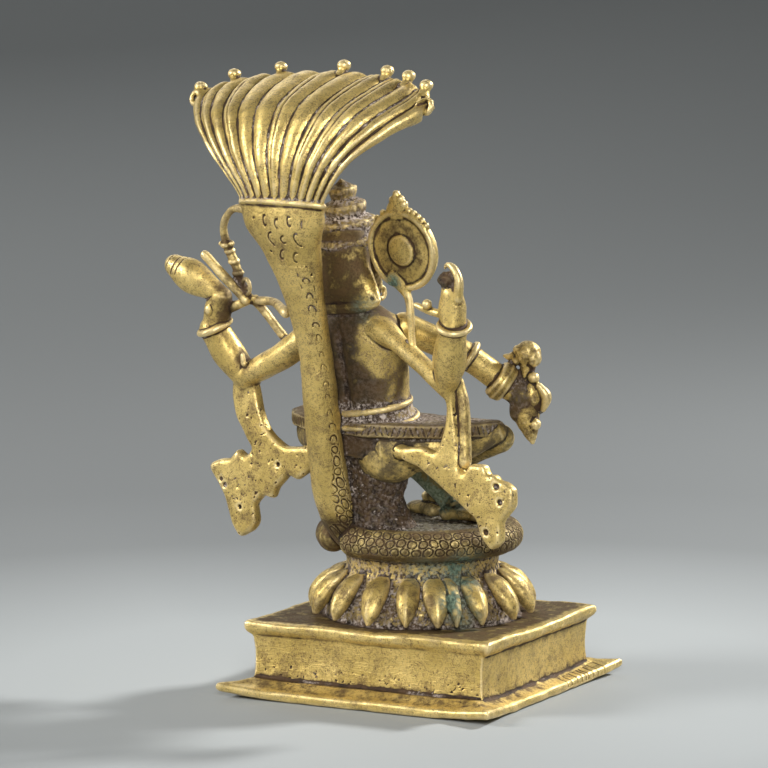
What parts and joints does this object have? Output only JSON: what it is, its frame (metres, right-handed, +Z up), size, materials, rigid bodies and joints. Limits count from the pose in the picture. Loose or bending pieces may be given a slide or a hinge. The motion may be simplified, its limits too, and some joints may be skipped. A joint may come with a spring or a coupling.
{
  "type": "cast bronze deity figure on a lotus and square plinth",
  "caption": "Small cast bronze figure: a seated four-armed deity on a lotus and square plinth, under the fluted hood of a coiled serpent that rises behind it.",
  "frame": {"origin": "middle of the plinth's flat underside", "axes": "+Z up; the plinth is square to X and Y; the figure faces -Y, turned 10 degrees about Z, with +X on its left"},
  "size_m": [0.1056, 0.09, 0.161],
  "materials": {
    "bronze": "worn yellow cast bronze, bright on the high places, with brown patina, a pinkish crust and some verdigris in the hollows"
  },
  "bodies": {
    "root": {"bronze_figure": "bronze"}
  },
  "joints": []
}
